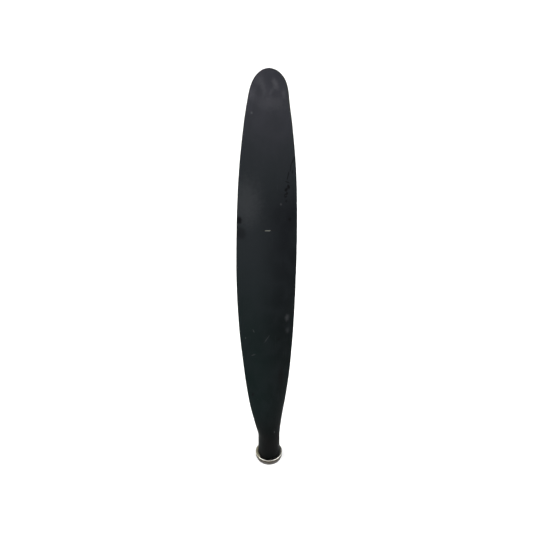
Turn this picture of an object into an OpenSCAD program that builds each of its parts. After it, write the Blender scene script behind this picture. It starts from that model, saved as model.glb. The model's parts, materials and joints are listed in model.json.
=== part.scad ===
// Detached propeller blade: a forged aluminium blade with a flanged butt,
// its captive roller thrust bearing, its bronze butt bushing and the balance
// plug that sits in the tapered bore above the bushing.
// Origin: on the pitch axis, at the butt face. +Z runs out to the tip,
// +X to the leading edge and -Y out of the flat face. Millimetres.

/* [Blade] */
// Length from the butt face to the tip
blade_len = 1100; // [1000:10:1300]
// Greatest width of the blade
blade_width = 140; // [126:1:160]
// Twist between the shank and the tip, in degrees
blade_twist = 34; // [24:1:40]
// Length over which the tip rounds off
tip_round_len = 66; // [50:1:80]
// Radius of the leading and trailing edges
edge_r = 0.9; // [0.6:0.1:1.4]

/* [Shank and butt] */
// Diameter of the round shank
shank_d = 59; // [58:0.5:61]
// Height of the end of the round shank above the butt face
shank_len = 80; // [78:1:90]
// How far the butt flange stands out from the shank
flange_lip = 4.5; // [4.4:0.1:6]
// Thickness of the butt flange
flange_t = 9; // [8:0.5:11]
// Chamfer round the butt face
butt_chamfer = 0.6; // [0.4:0.1:0.8]
// Fillet between the shank and the flange
shank_fillet = 2; // [2:0.5:3]

/* [Butt bushing] */
// Diameter of the pilot bore through the bushing
pilot_d = 30; // [26:0.5:32]
// Height of the bushing's inner end above the butt face
bushing_top = 60; // [50:1:61]
// Circle of the bushing's screws and drive pins
bushing_fixing_circle = 45.2; // [44.8:0.2:45.4]
// Circle of the index holes in the butt face
index_circle = 60.4; // [60:0.2:61]
// Diameter of the index holes
index_hole_d = 4; // [3:0.5:4]

/* [Thrust bearing] */
// Thickness of the bevelled washer
bevelled_washer_t = 4; // [3.8:0.1:5]
// Thickness of the flat washer
flat_washer_t = 3.2; // [2.5:0.1:5]
// Diameter of the thrust rollers
roller_d = 4.4; // [4:0.1:4.4]
// Number of rollers, shared by the two retainer halves
roller_count = 36; // [28:4:36]
// Clearance between the washers and the shank
washer_clearance = 0.6; // [0.4:0.1:1]

/* [Balance plug] */
// Height of the plug's lower face above the butt face
plug_z = 66; // [66:0.5:67]
// Diameter of the stud that carries the balance washers
stud_d = 7.9; // [6:0.1:8]
// Number of lead balance washers
lead_washer_count = 4; // [1:1:6]
// Height of the top of the tapered bore
bore_top = 200; // [180:5:210]

/* [Hidden] */
$fn = 96;

// Overlap that makes a cut pass cleanly through a face
cut = 1;
// Slip between two parts that are pushed or screwed together
slip = 0.03;

// Standard blade: the sliders above scale its station table
std_len = 1100;
std_width = 140;
std_shank_d = 59;
std_shank_len = 80;
std_twist = 34;
// Each station: height, leading half width, trailing half width,
// thickness, twist
STATIONS = [
    [80, 29.5, 29.5, 59, 26],
    [140, 35.5, 40.5, 50, 24],
    [210, 44.5, 54, 38, 21.5],
    [280, 51, 62.5, 29.5, 18],
    [350, 55.5, 68, 23.5, 14.5],
    [470, 61, 75, 17.5, 9.5],
    [600, 63.5, 77, 14, 5],
    [700, 64, 74.5, 11.5, 2],
    [810, 62, 69.5, 9.4, -1.5],
    [900, 57.5, 62.5, 7.8, -4],
    [990, 48.5, 51.5, 6.4, -6.2],
    [1034, 42.5, 44.2, 5.6, -7],
    [1100, 36.5, 31, 4.4, -8]
];
last_station = len(STATIONS) - 1;
Z = 0;
LEAD = 1;
TRAIL = 2;
THICK = 3;
TWIST = 4;

// Height at which the section has become a full airfoil
airfoil_z = 420;
// How far the airfoil's first section stays inside the turned shank
seam = 0.02;
// Share of the thickness that lies behind and in front of the edges
camber_share = 0.92;
face_share = 0.08;
// Depth of the edges in front of the pitch axis, as a share of thickness
face_set = 0.4;
// Exponent of the rounded tip, and how nearly it closes
tip_power = 3.5;
tip_close = 0.9994;
// Least share of its thickness that the tip keeps
tip_thin = 0.3;
// Points round a section, stations along the blade and over the tip
section_points = 44;
long_steps = 46;
tip_steps = 16;
// Length below the rounded tip that already has the tip's close stations
tip_lead_in = 20;

shank_r = shank_d / 2;
flange_r = shank_r + flange_lip;
counterbore_r = 27;
counterbore_h = 5;
bushing_recess = 0.5;
bushing_rim_gap = 0.2;
bushing_r = 19;
seat_r = 17;
bushing_bore_top = 62;
seat_top = 84;
taper_r = 15.5;
taper_tip_r = 8;
index_depth = 7;
fixing_d = 4;
screw_slot = 1;
screw_sink = 0.1;
pin_sink = 0.2;
screw_len = 17;
pin_len = 15;
fixing_r = bushing_fixing_circle / 2;
drill_extra = 1;

snap_z = 64;
snap_t = 1.6;
snap_groove = 1.8;
snap_groove_r = 18.2;
snap_inner_r = 15.2;
snap_gap = 9;
snap_lug_r = 2.6;
plier_hole_d = 1.8;
snap_slack = 0.1;
lug_overlap = 0.2;

washer_lip = 3.1;
washer_r = flange_r + washer_lip;
washer_bore_r = shank_r + washer_clearance;
roller_slack = 0.1;
roller_gap = roller_d + roller_slack;
bevelled_z = flange_t;
roller_z = bevelled_z + bevelled_washer_t;
flat_z = roller_z + roller_gap;
roller_mid_z = roller_z + roller_gap / 2;
roller_len = 4.2;
roller_pocket = 0.1;
retainer_slack = 0.3;
retainer_web = 0.8;
retainer_t = 2.9;
retainer_inner_r = washer_bore_r + retainer_slack;
roller_inner_r = retainer_inner_r + retainer_web;
retainer_outer_r = roller_inner_r + roller_len + retainer_web;
retainer_split = 0.4;

plug_h = 14;
boss_h = 3;
boss_r = 10;
o_ring_d = 1.96;
o_groove_r = seat_r - 2;
o_groove_w = 2.6;
o_groove_z = plug_z + 6;
stud_base = plug_z + 2;
hex_af = 13;
stack_bore_d = stud_d + 0.4;
stack_gap = 0.05;
jam_nut_t = 5;
lead_washer_t = 4;
lead_washer_r = 12;
steel_washer_t = 2;
steel_washer_r = 11;
castle_nut_t = 8;
castle_slot = 2.2;
castle_slot_h = 3;
cotter_d = 1.8;
plug_top = plug_z + plug_h + boss_h;
lead_z = plug_top + jam_nut_t;
steel_z = lead_z + lead_washer_count * lead_washer_t;
castle_z = steel_z + steel_washer_t;
cotter_z = castle_z + castle_nut_t - castle_slot_h / 2;
stud_over = 3;
stud_top = castle_z + castle_nut_t + stud_over;
wool_h = 34;

// ---- Blade section and sweep ----

function mix(a, b, t) = a + (b - a) * t;
function smooth(t) = let (c = min(max(t, 0), 1)) c * c * (3 - 2 * c);

// Slope of a station column, level where the round shank ends
function slope(i, col) =
    i == 0 ? 0 :
    let (lo = STATIONS[i - 1], hi = STATIONS[min(i + 1, last_station)])
    (hi[col] - lo[col]) / (hi[Z] - lo[Z]);

function span_of(z, i = 0) =
    i >= last_station - 1 || z <= STATIONS[i + 1][Z] ? i : span_of(z, i + 1);

// A station column at any height, as a smooth curve through the table
function column(z, col) =
    let (i = span_of(z), a = STATIONS[i], b = STATIONS[i + 1])
    let (h = b[Z] - a[Z], t = (z - a[Z]) / h, t2 = t * t, t3 = t2 * t)
    (2 * t3 - 3 * t2 + 1) * a[col] + (t3 - 2 * t2 + t) * h * slope(i, col)
    + (3 * t2 - 2 * t3) * b[col] + (t3 - t2) * h * slope(i + 1, col);

// Height on the standard blade that matches a height on this one
function std_z(z) =
    std_shank_len + (z - shank_len) * (std_len - std_shank_len)
    / (blade_len - shank_len);

// Share of the full width that the rounded tip leaves
function tip_share(z) =
    let (s = max(0, (z - blade_len + tip_round_len) / tip_round_len))
    sqrt(1 - pow(s * tip_close, tip_power));

function half_width(z, col) =
    (shank_r - seam + (column(std_z(z), col) - std_shank_d / 2)
    * (blade_width - shank_d) / (std_width - std_shank_d)) * tip_share(z);

function thickness(z) =
    column(std_z(z), THICK) * (shank_d - 2 * seam) / std_shank_d
    * mix(tip_thin, 1, tip_share(z));

function twist(z) = column(std_z(z), TWIST) * blade_twist / std_twist;

// Half-round shank profile and airfoil profile, both 1 at their thickest
function round_profile(u) = 2 * sqrt(u * (1 - u));
function wing_profile(u) =
    10 * (0.2969 * sqrt(u) - 0.126 * u - 0.3516 * u * u
    + 0.2843 * pow(u, 3) - 0.1036 * pow(u, 4));

// Half thickness that rounds off an edge, at a distance in from it
function edge_round(d) = edge_r * sqrt(1 - pow(1 - min(d / edge_r, 1), 2));

// One point of the section: 0 degrees is the leading edge, 180 the trailing
function section_point(z, angle) =
    let (lead = half_width(z, LEAD), trail = half_width(z, TRAIL))
    let (u = (1 - cos(angle)) / 2, chord = lead + trail, t = thickness(z))
    let (wing = smooth((std_z(z) - std_shank_len) / (airfoil_z - std_shank_len)))
    let (profile = mix(round_profile(u), wing_profile(u), wing))
    let (back = mix(0.5, camber_share, wing), front = mix(0.5, face_share, wing))
    let (share = angle < 180 ? back : -front, side = angle < 180 ? 1 : -1)
    let (edge = side * wing * edge_round(min(u, 1 - u) * chord))
    [lead - chord * u, t * (share * profile - face_set * wing) + edge];

function turned(p, a) = [p[0] * cos(a) - p[1] * sin(a), p[0] * sin(a) + p[1] * cos(a)];

function section_ring(z) =
    [for (k = [0 : section_points - 1])
        let (p = turned(section_point(z, k * 360 / section_points), twist(z)))
        [p[0], p[1], z]];

tip_start = blade_len - tip_round_len - tip_lead_in;
RING_HEIGHTS = concat(
    [for (i = [0 : long_steps - 1]) mix(shank_len, tip_start, i / long_steps)],
    [for (i = [0 : tip_steps]) mix(tip_start, blade_len, sin(90 * i / tip_steps))]);

module swept(rings) {
    n = len(rings[0]);
    last = len(rings) - 1;
    points = [for (ring = rings, p = ring) p];
    sides = [for (r = [0 : last - 1], k = [0 : n - 1])
        let (a = r * n + k, b = r * n + (k + 1) % n)
        each [[a, a + n, b], [b, a + n, b + n]]];
    base = [for (k = [0 : n - 1]) k];
    top = [for (k = [n - 1 : -1 : 0]) last * n + k];
    polyhedron(points, concat([base, top], sides), convexity = 6);
}

module at_angles(count, radius, first = 0) {
    for (i = [0 : count - 1])
        rotate([0, 0, first + i * 360 / count])
            translate([radius, 0, 0])
                children();
}

// ---- Root body ----

// Round shank, fillet and butt flange as one turned outline
module shank_outline() {
    fillet_z = flange_t + shank_fillet;
    arc = [for (a = [0 : 10 : 90])
        [shank_r + shank_fillet * (1 - sin(a)), fillet_z - shank_fillet * cos(a)]];
    polygon(concat(
        [[0, 0], [flange_r - butt_chamfer, 0], [flange_r, butt_chamfer]],
        [[flange_r, flange_t]],
        arc,
        [[shank_r, shank_len], [0, shank_len]]));
}

module bore_outline() {
    polygon([[0, -cut], [counterbore_r, -cut], [counterbore_r, counterbore_h],
        [bushing_r, counterbore_h], [bushing_r, bushing_bore_top],
        [seat_r, bushing_bore_top], [seat_r, seat_top], [taper_r, seat_top],
        [taper_tip_r, bore_top], [0, bore_top]]);
}

module blade() {
    color([0.12, 0.13, 0.13])
    difference() {
        union() {
            rotate_extrude() shank_outline();
            swept([for (z = RING_HEIGHTS) section_ring(z)]);
        }
        rotate_extrude() bore_outline();
        translate([0, 0, snap_z]) cylinder(r = snap_groove_r, h = snap_groove);
        at_angles(4, fixing_r)
            cylinder(d = fixing_d, h = screw_len + drill_extra);
        at_angles(4, fixing_r, 45)
            cylinder(d = fixing_d, h = pin_len + drill_extra);
        at_angles(4, index_circle / 2, 45)
            translate([0, 0, -cut])
                cylinder(d = index_hole_d, h = index_depth + cut);
    }
}

module blade_bushing() {
    mouth = 1;
    color([0.72, 0.55, 0.28])
    difference() {
        rotate_extrude()
            polygon([
                [pilot_d / 2 + mouth, bushing_recess],
                [counterbore_r - bushing_rim_gap, bushing_recess],
                [counterbore_r - bushing_rim_gap, counterbore_h],
                [bushing_r - slip, counterbore_h],
                [bushing_r - slip, bushing_top],
                [pilot_d / 2, bushing_top],
                [pilot_d / 2, bushing_recess + mouth]]);
        at_angles(4, fixing_r) {
            cylinder(d = fixing_d, h = counterbore_h + cut);
            translate([0, 0, bushing_recess])
                cylinder(d1 = 2 * fixing_d, d2 = fixing_d, h = fixing_d / 2);
        }
        at_angles(4, fixing_r, 45)
            cylinder(d = fixing_d, h = counterbore_h + cut);
    }
}

module bushing_screw() {
    head_h = fixing_d / 2 - screw_sink;
    head_d = 2 * (fixing_d - 2 * screw_sink);
    difference() {
        union() {
            cylinder(d1 = head_d, d2 = fixing_d - 2 * slip, h = head_h);
            cylinder(d = fixing_d - 2 * slip, h = screw_len);
        }
        translate([-fixing_d, -screw_slot / 2, -cut])
            cube([2 * fixing_d, screw_slot, screw_slot + cut]);
    }
}

module bushing_screws() {
    color([0.5, 0.5, 0.48])
    translate([0, 0, bushing_recess + screw_sink])
        at_angles(4, fixing_r)
            rotate([0, 0, 30]) bushing_screw();
}

module bushing_drive_pins() {
    color([0.5, 0.5, 0.48])
    translate([0, 0, bushing_recess + pin_sink])
        at_angles(4, fixing_r, 45)
            cylinder(d = fixing_d - 2 * slip, h = pin_len);
}

module balance_plug() {
    color([0.7, 0.71, 0.72])
    rotate_extrude()
        polygon([
            [0, plug_z], [seat_r - slip, plug_z],
            [seat_r - slip, o_groove_z], [o_groove_r, o_groove_z],
            [o_groove_r, o_groove_z + o_groove_w],
            [seat_r - slip, o_groove_z + o_groove_w],
            [seat_r - slip, plug_z + plug_h],
            [boss_r, plug_z + plug_h], [boss_r, plug_top],
            [stud_d / 2 + slip, plug_top], [stud_d / 2 + slip, stud_base],
            [0, stud_base]]);
}

module plug_o_ring() {
    color([0.08, 0.08, 0.08])
    translate([0, 0, o_groove_z + o_groove_w / 2])
        rotate_extrude()
            translate([seat_r - o_ring_d / 2 - slip / 2, 0])
                circle(d = o_ring_d, $fn = 32);
}

// Both sides of the snap ring's gap, where its lugs are
module at_lugs() {
    reach = seat_r - snap_lug_r - snap_slack;
    side = snap_gap / 2 + snap_lug_r - lug_overlap;
    for (s = [-1, 1])
        translate([sqrt(reach * reach - side * side), s * side, 0])
            children();
}

module plug_snap_ring() {
    color([0.3, 0.3, 0.3])
    translate([0, 0, snap_z + (snap_groove - snap_t) / 2])
    difference() {
        union() {
            difference() {
                cylinder(r = snap_groove_r - snap_slack, h = snap_t);
                translate([0, 0, -cut])
                    cylinder(r = snap_inner_r, h = snap_t + 2 * cut);
                translate([0, -snap_gap / 2, -cut])
                    cube([snap_groove_r, snap_gap, snap_t + 2 * cut]);
            }
            at_lugs() cylinder(r = snap_lug_r, h = snap_t, $fn = 32);
        }
        at_lugs()
            translate([0, 0, -cut])
                cylinder(d = plier_hole_d, h = snap_t + 2 * cut, $fn = 24);
    }
}

module balance_stud() {
    tip = 1;
    color([0.45, 0.45, 0.46])
    difference() {
        union() {
            translate([0, 0, stud_base])
                cylinder(d = stud_d, h = stud_top - stud_base - tip);
            translate([0, 0, stud_top - tip])
                cylinder(d1 = stud_d, d2 = stud_d - 2 * tip, h = tip);
        }
        translate([0, 0, cotter_z]) rotate([0, 90, 0])
            cylinder(d = cotter_d + 2 * slip, h = 2 * stud_d, center = true, $fn = 32);
    }
}

module hex_nut(height) {
    difference() {
        cylinder(d = hex_af / cos(30), h = height, $fn = 6);
        translate([0, 0, -cut])
            cylinder(d = stud_d + 2 * slip, h = height + 2 * cut);
    }
}

module washer(radius, height) {
    difference() {
        cylinder(r = radius, h = height);
        translate([0, 0, -cut])
            cylinder(d = stack_bore_d, h = height + 2 * cut);
    }
}

module stud_jam_nut() {
    color([0.45, 0.45, 0.46])
    translate([0, 0, plug_top]) hex_nut(jam_nut_t);
}

module lead_washers() {
    color([0.36, 0.37, 0.4])
    for (i = [0 : lead_washer_count - 1])
        translate([0, 0, lead_z + i * lead_washer_t])
            washer(lead_washer_r, lead_washer_t - stack_gap);
}

module steel_washer() {
    color([0.5, 0.5, 0.5])
    translate([0, 0, steel_z]) washer(steel_washer_r, steel_washer_t);
}

module castle_nut() {
    color([0.45, 0.45, 0.46])
    translate([0, 0, castle_z])
    difference() {
        hex_nut(castle_nut_t);
        for (a = [0, 60, 120])
            rotate([0, 0, a])
                translate([-hex_af, -castle_slot / 2, castle_nut_t - castle_slot_h])
                    cube([2 * hex_af, castle_slot, castle_slot_h + cut]);
    }
}

module cotter_pin() {
    reach = 9;
    bend_h = 4;
    eye_r = 1.7;
    eye_overlap = 0.4;
    color([0.6, 0.6, 0.6])
    translate([0, 0, cotter_z])
    union() {
        rotate([0, 90, 0])
            cylinder(d = cotter_d, h = 2 * reach, center = true, $fn = 32);
        translate([-reach - eye_r + eye_overlap, 0, 0])
            rotate_extrude($fn = 48)
                translate([eye_r, 0]) circle(d = cotter_d / 2, $fn = 16);
        translate([reach - cotter_d / 2, 0, 0])
            cylinder(d = cotter_d, h = bend_h, $fn = 32);
    }
}

module lead_wool() {
    taper = (taper_r - taper_tip_r) / (bore_top - seat_top);
    base_r = taper_tip_r + taper * wool_h;
    color([0.4, 0.41, 0.43])
    translate([0, 0, bore_top - wool_h])
        cylinder(r1 = base_r - slip, r2 = taper_tip_r - slip, h = wool_h - slip);
}

// ---- Thrust bearing ----

module bevelled_thrust_washer() {
    bevel = shank_fillet + 0.1;
    edge = 0.4;
    color([0.56, 0.55, 0.52])
    translate([0, 0, bevelled_z])
    rotate_extrude()
        polygon([
            [washer_bore_r + bevel, 0], [washer_r - edge, 0], [washer_r, edge],
            [washer_r, bevelled_washer_t - edge],
            [washer_r - edge, bevelled_washer_t],
            [washer_bore_r, bevelled_washer_t], [washer_bore_r, bevel]]);
}

module flat_thrust_washer() {
    edge = 0.6;
    color([0.78, 0.78, 0.78])
    translate([0, 0, flat_z])
    rotate_extrude()
        polygon([
            [washer_bore_r, 0], [washer_r - edge, 0], [washer_r, edge],
            [washer_r, flat_washer_t - edge], [washer_r - edge, flat_washer_t],
            [washer_bore_r + edge, flat_washer_t],
            [washer_bore_r, flat_washer_t - edge]]);
}

// Angle of each roller, set clear of the split at 90 and 270 degrees
function roller_angle(i) = (i + 0.5) * 360 / roller_count;

module each_roller(side) {
    for (i = [0 : roller_count - 1])
        if (side * cos(roller_angle(i)) > 0)
            rotate([0, 0, roller_angle(i)])
                translate([roller_inner_r, 0, roller_mid_z])
                    children();
}

module retainer_half(side) {
    pocket_w = roller_d + 2 * roller_pocket;
    color([0.55, 0.42, 0.24])
    difference() {
        translate([0, 0, roller_mid_z - retainer_t / 2])
        difference() {
            cylinder(r = retainer_outer_r, h = retainer_t);
            translate([0, 0, -cut])
                cylinder(r = retainer_inner_r, h = retainer_t + 2 * cut);
            translate([side > 0 ? -2 * washer_r : -retainer_split / 2, -washer_r, -cut])
                cube([2 * washer_r + retainer_split / 2, 2 * washer_r,
                    retainer_t + 2 * cut]);
        }
        each_roller(side)
            translate([-roller_pocket, -pocket_w / 2, -roller_d])
                cube([roller_len + 2 * roller_pocket, pocket_w, 2 * roller_d]);
    }
}

module rollers(side) {
    color([0.62, 0.62, 0.62])
    each_roller(side)
        rotate([0, 90, 0]) cylinder(d = roller_d, h = roller_len, $fn = 32);
}

module retainer_half_left() { retainer_half(-1); }
module retainer_half_right() { retainer_half(1); }
module rollers_left() { rollers(-1); }
module rollers_right() { rollers(1); }

blade();
blade_bushing();
bushing_screws();
bushing_drive_pins();
balance_plug();
plug_o_ring();
plug_snap_ring();
balance_stud();
stud_jam_nut();
lead_washers();
steel_washer();
castle_nut();
cotter_pin();
lead_wool();
bevelled_thrust_washer();
retainer_half_left();
retainer_half_right();
rollers_left();
rollers_right();
flat_thrust_washer();
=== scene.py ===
"""Detached propeller blade, standing on its butt on a pale studio floor.

Laid out as a Blender add-on and run as a script. The CAD frame gives every size and place;
this file adds the fine meshes, the finishes, the lights and the camera. Metres throughout.
"""
import json
import math
import random

import bmesh
import bpy
import numpy as np
from bpy.props import FloatProperty, FloatVectorProperty, IntProperty, PointerProperty
from mathutils import Matrix, Vector, noise
from mathutils.bvhtree import BVHTree


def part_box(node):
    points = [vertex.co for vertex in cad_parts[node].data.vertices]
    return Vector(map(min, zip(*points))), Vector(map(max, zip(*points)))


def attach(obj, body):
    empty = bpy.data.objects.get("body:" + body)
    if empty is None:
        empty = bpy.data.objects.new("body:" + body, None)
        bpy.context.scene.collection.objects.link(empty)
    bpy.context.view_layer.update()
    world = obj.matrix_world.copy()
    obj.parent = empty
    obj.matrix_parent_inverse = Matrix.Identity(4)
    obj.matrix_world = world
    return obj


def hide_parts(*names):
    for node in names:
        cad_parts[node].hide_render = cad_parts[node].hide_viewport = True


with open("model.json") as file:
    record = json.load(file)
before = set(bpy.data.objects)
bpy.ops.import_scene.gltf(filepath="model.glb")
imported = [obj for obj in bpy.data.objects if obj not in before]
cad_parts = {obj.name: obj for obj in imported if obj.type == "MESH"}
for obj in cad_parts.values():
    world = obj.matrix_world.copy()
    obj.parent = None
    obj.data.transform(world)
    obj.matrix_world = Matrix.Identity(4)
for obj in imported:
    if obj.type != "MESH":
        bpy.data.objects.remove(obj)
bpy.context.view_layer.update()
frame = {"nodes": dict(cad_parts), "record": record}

bl_info = {
    "name": "Propeller Blade",
    "version": (1, 0, 0),
    "blender": (4, 5, 0),
    "location": "3D View > Sidebar > Propeller Blade",
    "description": "Builds a detached propeller blade with its thrust bearing and butt fittings",
    "category": "Add Mesh",
}

MM = 0.001
MERGE_REACH = 0.002 * MM

FLAT_LOW, FLAT_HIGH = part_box("flat_thrust_washer")
BEVEL_LOW, BEVEL_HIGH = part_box("bevelled_thrust_washer")
BUSHING_LOW, BUSHING_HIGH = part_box("blade_bushing")
STUD_LOW, STUD_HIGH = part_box("balance_stud")
PLUG_LOW, PLUG_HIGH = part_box("balance_plug")


def record_mount(name):
    """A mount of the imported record, which holds the bore and index sizes."""
    return next(m for m in frame["record"]["mounts"] if m["name"] == name)


def reach_between(node, low, high):
    """Largest distance from the pitch axis of a node's corners between two heights."""
    corners = [v.co for v in frame["nodes"][node].data.vertices]
    return max(math.hypot(p.x, p.y) for p in corners if low <= p.z <= high)


PILOT_R = record_mount("pilot_bore")["dims"]["r_mm"] * MM
INDEX_CIRCLE_R = record_mount("index_holes")["dims"]["pcd_mm"] * MM / 2
INDEX_HOLE_R = record_mount("index_holes")["dims"]["hole_r_mm"] * MM
INDEX_HOLES = record_mount("index_holes")["dims"]["count"]
INDEX_DEPTH = 7 * MM

FLANGE_TOP = BEVEL_LOW.z
SHANK_TOP = 80 * MM
FLANGE_R = reach_between("blade", 0, FLANGE_TOP)
SHANK_R = reach_between("blade", SHANK_TOP - MM, SHANK_TOP + 0.01 * MM)
WASHER_R = FLAT_HIGH.y
WASHER_BORE_R = SHANK_R + 0.6 * MM
BUTT_CHAMFER = 0.6 * MM
SHANK_FILLET = 2 * MM
SECTION_POINTS = 44
LEVELS_PER_METRE = 1e5

# Slip between two pieces that are pushed or screwed together, and the overlap of a clean cut
SLIP = 0.03 * MM
CUT = 1 * MM

# The stepped bore of the butt, from its mouth inwards
COUNTERBORE_R, COUNTERBORE_TOP = 27 * MM, 5 * MM
BUSHING_SEAT_R, BUSHING_SEAT_TOP = 19 * MM, 62 * MM
PLUG_SEAT_R, PLUG_SEAT_TOP = 17 * MM, 84 * MM
GROOVE_R, GROOVE_LOW, GROOVE_HIGH = 18.2 * MM, 64 * MM, 65.8 * MM
TAPER_R, TAPER_END_R, TAPER_END = 15.5 * MM, 8 * MM, 200 * MM
BORE_CORNER = 0.35 * MM

# Screws and drive pins of the bushing, which alternate on one circle
FIXINGS = 4
FIXING_CIRCLE_R, FIXING_R = 22.6 * MM, 2 * MM
SCREW_LENGTH, SCREW_HOLE_TOP = 17 * MM, 18 * MM
PIN_LENGTH, PIN_HOLE_TOP = 15 * MM, 16 * MM
FIXING_SINK = 0.1 * MM

# The roller retainer
ROLLERS = 36
ROLLER_LENGTH = 4.2 * MM
ROLLER_POCKET = 0.1 * MM
RETAINER_CLEARANCE = 0.3 * MM
RETAINER_WEB = 0.8 * MM

# Nicks dressed out of the leading edge: heights, half lengths, and how far in they reach
NICKS = 7
NICK_HEIGHTS = (0.35, 0.94)
NICK_HALF_LENGTHS = (6 * MM, 14 * MM)
NICK_REACH = 3 * MM

# The studio
FLOOR_SIZE = 28.0
SOFTBOX_PLACE = (1.9, -0.55, 0.72)
SOFTBOX_SIZE = (0.4, 1.3)

# Colours of what lies on the finishes or shows through them, and of painted shade and sheen
RUBBED_PAINT = (0.08, 0.08, 0.085)
OILY_SCUFF = (0.0008, 0.0008, 0.0012)
# Painted shadow of the scribed groove
SCRIBED_GROOVE_SHADOW = (0.004, 0.004, 0.004)
PAINT_DUST = (0.06, 0.06, 0.058)
BRUSH_STREAK = (0.026, 0.028, 0.03)
# Painted shade of the rounded edges near the tip
EDGE_RIM_SHADE = (0.026, 0.026, 0.019)
CHIPPED_METAL = (0.3, 0.29, 0.28)
OLD_OIL = (0.075, 0.062, 0.04)
# Painted sheen on the left side of the polished washer
LEFT_SIDE_SHEEN = (0.17, 0.155, 0.09)


# ---------------------------------------------------------------- sizes and colours

class BladeSizes(bpy.types.PropertyGroup):
    """Sizes of the details that the blade's own mesh carries."""

    detail_round: IntProperty(
        name="Detail round", description="Mesh points between two CAD points of a section",
        default=4, min=2, max=6)
    detail_along: IntProperty(
        name="Detail along", description="Mesh rows between two CAD sections",
        default=4, min=2, max=6)
    nick_depth: FloatProperty(
        name="Nick depth", description="Deepest dressed-out nick in the leading edge",
        default=0.3 * MM, min=0.0, max=2 * MM, unit="LENGTH")
    paint_edge: FloatProperty(
        name="Paint edge", description="Height above the butt face where the shank's paint ends",
        default=FLAT_HIGH.z - 1.5 * MM, min=0.0, max=0.08, unit="LENGTH")
    mark_height: FloatProperty(
        name="Reference mark height", description="Height of the blade angle reference mark",
        default=0.7347, min=0.3, max=0.9, unit="LENGTH")
    mark_length: FloatProperty(
        name="Reference mark length", description="Length of the scribed reference line",
        default=0.036, min=0.01, max=0.08, unit="LENGTH")


class BladeColours(bpy.types.PropertyGroup):
    """Base colours of the finishes."""

    # The tip paint is lighter partly from weathering and partly as painted sheen of light catching
    # the upper blade.
    tip_paint_and_sheen: FloatVectorProperty(
        name="Tip paint", description="Weathered black paint towards the tip",
        subtype="COLOR", size=3, default=(0.0215, 0.0215, 0.0262), min=0, max=1)
    middle_paint: FloatVectorProperty(
        name="Middle paint", description="Black paint at two thirds of the length",
        subtype="COLOR", size=3, default=(0.0086, 0.0102, 0.0116), min=0, max=1)
    root_paint: FloatVectorProperty(
        name="Root paint", description="Black paint towards the shank",
        subtype="COLOR", size=3, default=(0.0018, 0.0046, 0.0044), min=0, max=1)
    mark_paint: FloatVectorProperty(
        name="Mark paint", description="Paint left in the reference line",
        subtype="COLOR", size=3, default=(0.17, 0.175, 0.155), min=0, max=1)
    bare_forging: FloatVectorProperty(
        name="Bare forging", description="Bare aluminium of the butt",
        subtype="COLOR", size=3, default=(0.075, 0.07, 0.065), min=0, max=1)
    bright_steel: FloatVectorProperty(
        name="Bright steel", description="Polished flat thrust washer and rollers",
        subtype="COLOR", size=3, default=(0.5, 0.49, 0.45), min=0, max=1)
    dull_steel: FloatVectorProperty(
        name="Dull steel", description="Bevelled thrust washer and fixings",
        subtype="COLOR", size=3, default=(0.085, 0.08, 0.072), min=0, max=1)
    bronze: FloatVectorProperty(
        name="Bronze", description="Butt bushing",
        subtype="COLOR", size=3, default=(0.46, 0.31, 0.14), min=0, max=1)
    # Painted shade: the retainer's bronze is darkened to stand in for the shade in the gap between
    # the washers.
    bronze_in_painted_shade: FloatVectorProperty(
        name="Oily bronze", description="Roller retainer, dark with old oil",
        subtype="COLOR", size=3, default=(0.1, 0.075, 0.05), min=0, max=1)
    lead: FloatVectorProperty(
        name="Lead", description="Balance washers and lead wool",
        subtype="COLOR", size=3, default=(0.2, 0.21, 0.23), min=0, max=1)
    floor: FloatVectorProperty(
        name="Floor", description="Pale studio floor",
        subtype="COLOR", size=3, default=(0.96, 0.96, 0.96), min=0, max=1)


class StudioSettings(bpy.types.PropertyGroup):
    """Camera and lights."""

    camera_distance: FloatProperty(
        name="Camera distance", description="Camera's distance in front of the blade's axis",
        default=1.35, min=0.5, max=5, unit="LENGTH")
    camera_height: FloatProperty(
        name="Camera height", description="Camera's height above the floor",
        default=1.5, min=0.2, max=4, unit="LENGTH")
    camera_pitch: FloatProperty(
        name="Camera pitch", description="Angle that the camera looks down by",
        default=math.radians(32.63), min=0, max=1.5, subtype="ANGLE")
    camera_lens: FloatProperty(
        name="Camera lens", description="Focal length on a 36 mm sensor",
        default=46.39, min=20, max=120)
    camera_shift: FloatProperty(
        name="Camera shift", description="Sideways shift of the view, as a share of its width",
        default=-0.0045, min=-0.1, max=0.1)
    side_light: FloatProperty(
        name="Side lights", description="Power of each side softbox in watts",
        default=14, min=0, max=500)
    side_glow: FloatProperty(
        name="Side glow", description="Extra brightness of the room's two low side walls",
        default=3.2, min=0, max=8)
    room_light: FloatProperty(
        name="Room light", description="Brightness of the white room",
        default=1.05, min=0, max=5)


def sizes():
    """The sizes that a user may change."""
    return bpy.context.scene.blade_sizes


def colours():
    """The base colours that a user may change."""
    return bpy.context.scene.blade_colours


def studio():
    """The camera and light settings that a user may change."""
    return bpy.context.scene.blade_studio


# ---------------------------------------------------------------- mesh tools

def sharpen(mesh, angle=math.radians(38)):
    """Shades the mesh smooth, with its real corners kept sharp."""
    mesh.polygons.foreach_set("use_smooth", [True] * len(mesh.polygons))
    bm = bmesh.new()
    bm.from_mesh(mesh)
    for edge in bm.edges:
        edge.smooth = len(edge.link_faces) == 2 and edge.calc_face_angle(0) < angle
    bm.to_mesh(mesh)
    bm.free()


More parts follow.
